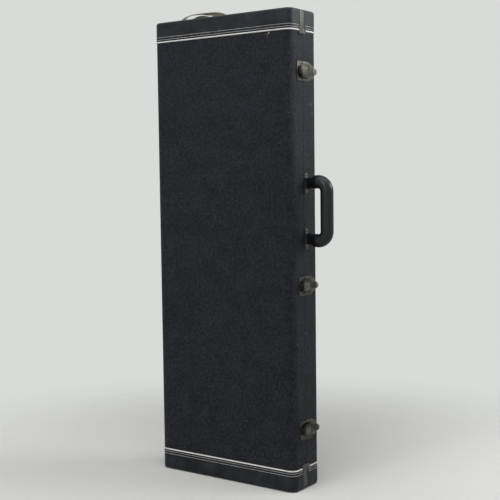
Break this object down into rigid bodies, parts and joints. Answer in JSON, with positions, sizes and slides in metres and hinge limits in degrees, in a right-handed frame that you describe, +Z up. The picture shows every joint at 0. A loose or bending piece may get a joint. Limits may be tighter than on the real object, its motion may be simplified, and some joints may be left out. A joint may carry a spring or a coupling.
{
  "type": "electric guitar case",
  "caption": "Rectangular hard-shell case for a solid-body electric guitar: hinged lid, draw latches, swinging handle, padded interior with an accessory box.",
  "frame": {"origin": "centre of the bottom end face (the neck end of the case), on which it stands in the picture", "axes": "+Z up along the case's length, towards the body end; +X towards the side with the handle and latches, hinges on -X; -Y towards the lid's wide face"},
  "size_m": [0.4492, 0.1092, 1.0618],
  "materials": {
    "covering_vinyl": "coarse embossed black vinyl cloth",
    "end_vinyl": "smooth leather-grain black vinyl",
    "piping_vinyl": "white vinyl piping",
    "trim_metal": "dull aluminium trim",
    "latch_metal": "aged bronze-grey plating",
    "hinge_metal": "dull nickel plating",
    "handle_plastic": "black moulded vinyl, semi-gloss",
    "strap_leather": "dark olive-brown leather",
    "foot_metal": "dull nickel plating",
    "plywood": "raw plywood",
    "rim_fibre": "black fibreboard",
    "lining_plush": "dark plush",
    "pad_plush": "dark plush over foam"
  },
  "bodies": {
    "base": {"base_shell": "plywood", "base_covering": "covering_vinyl", "base_lining": "lining_plush", "base_end_cover_bottom": "end_vinyl", "base_end_cover_top": "end_vinyl", "base_piping_bottom": "piping_vinyl", "base_piping_top": "piping_vinyl", "base_end_trim_bottom": "trim_metal", "base_end_trim_top": "trim_metal", "base_rim": "rim_fibre", "hinge_base_leaf_1": "hinge_metal", "hinge_base_leaf_2": "hinge_metal", "hinge_base_leaf_3": "hinge_metal", "hinge_pin_1": "hinge_metal", "hinge_pin_2": "hinge_metal", "hinge_pin_3": "hinge_metal", "latch_base_1": "latch_metal", "latch_base_2": "latch_metal", "latch_base_3": "latch_metal", "handle_bracket_1": "latch_metal", "handle_bracket_2": "latch_metal", "end_strap": "strap_leather", "end_strap_plate_left": "hinge_metal", "end_strap_plate_right": "hinge_metal", "foot_1": "foot_metal", "foot_2": "foot_metal", "foot_3": "foot_metal", "foot_4": "foot_metal", "bolster_left": "pad_plush", "bolster_right": "pad_plush", "tail_block": "pad_plush", "neck_rest": "pad_plush", "neck_filler": "pad_plush", "accessory_box": "lining_plush"},
    "lid": {"lid_shell": "plywood", "lid_covering": "covering_vinyl", "lid_lining": "lining_plush", "lid_end_cover_bottom": "end_vinyl", "lid_end_cover_top": "end_vinyl", "lid_piping_bottom": "piping_vinyl", "lid_piping_top": "piping_vinyl", "lid_end_trim_bottom": "trim_metal", "lid_end_trim_top": "trim_metal", "hinge_lid_leaf_1": "hinge_metal", "hinge_lid_leaf_2": "hinge_metal", "hinge_lid_leaf_3": "hinge_metal", "latch_catch_1": "latch_metal", "latch_catch_2": "latch_metal", "latch_catch_3": "latch_metal"},
    "lever_1": {"latch_lever_1": "latch_metal"},
    "lever_2": {"latch_lever_2": "latch_metal"},
    "lever_3": {"latch_lever_3": "latch_metal"},
    "hasp_1": {"latch_hasp_1": "latch_metal"},
    "hasp_2": {"latch_hasp_2": "latch_metal"},
    "hasp_3": {"latch_hasp_3": "latch_metal"},
    "handle": {"handle_grip": "handle_plastic"},
    "accessory_lid": {"accessory_lid": "lining_plush", "accessory_pull_tab": "strap_leather"}
  },
  "joints": [
    {"name": "lid_hinge", "type": "hinge", "parent": "base", "child": "lid", "pos_m": [-0.1902, -0.0074, 0.52], "axis": [0, 0, -1], "range_deg": [0, 100]},
    {"name": "lever_1_pivot", "type": "hinge", "parent": "base", "child": "lever_1", "pos_m": [0.1915, -0.0009, 0.1315], "axis": [0, 0, -1], "range_deg": [0, 100]},
    {"name": "lever_2_pivot", "type": "hinge", "parent": "base", "child": "lever_2", "pos_m": [0.1915, -0.0009, 0.448], "axis": [0, 0, -1], "range_deg": [0, 100]},
    {"name": "lever_3_pivot", "type": "hinge", "parent": "base", "child": "lever_3", "pos_m": [0.1915, -0.0009, 0.909], "axis": [0, 0, -1], "range_deg": [0, 100]},
    {"name": "hasp_1_pivot", "type": "hinge", "parent": "lever_1", "child": "hasp_1", "pos_m": [0.1911, 0.0071, 0.1315], "axis": [0, 0, -1], "range_deg": [-116, 0]},
    {"name": "hasp_2_pivot", "type": "hinge", "parent": "lever_2", "child": "hasp_2", "pos_m": [0.1911, 0.0071, 0.448], "axis": [0, 0, -1], "range_deg": [-116, 0]},
    {"name": "hasp_3_pivot", "type": "hinge", "parent": "lever_3", "child": "hasp_3", "pos_m": [0.1911, 0.0071, 0.909], "axis": [0, 0, -1], "range_deg": [-116, 0]},
    {"name": "handle_swing", "type": "hinge", "parent": "base", "child": "handle", "pos_m": [0.1944, 0.0035, 0.61], "axis": [0, 0, 1], "range_deg": [-75, 75]},
    {"name": "accessory_lid_hinge", "type": "hinge", "parent": "base", "child": "accessory_lid", "pos_m": [-0.1714, 0.003, 0.4639], "axis": [0, 0, -1], "range_deg": [0, 91]}
  ],
  "couplings": [
    {"joint": "hasp_1_pivot", "follows": "lever_1_pivot", "ratio": -1.15},
    {"joint": "hasp_2_pivot", "follows": "lever_2_pivot", "ratio": -1.15},
    {"joint": "hasp_3_pivot", "follows": "lever_3_pivot", "ratio": -1.15},
    {"joint": "accessory_lid_hinge", "follows": "lid_hinge", "ratio": 0.9}
  ]
}
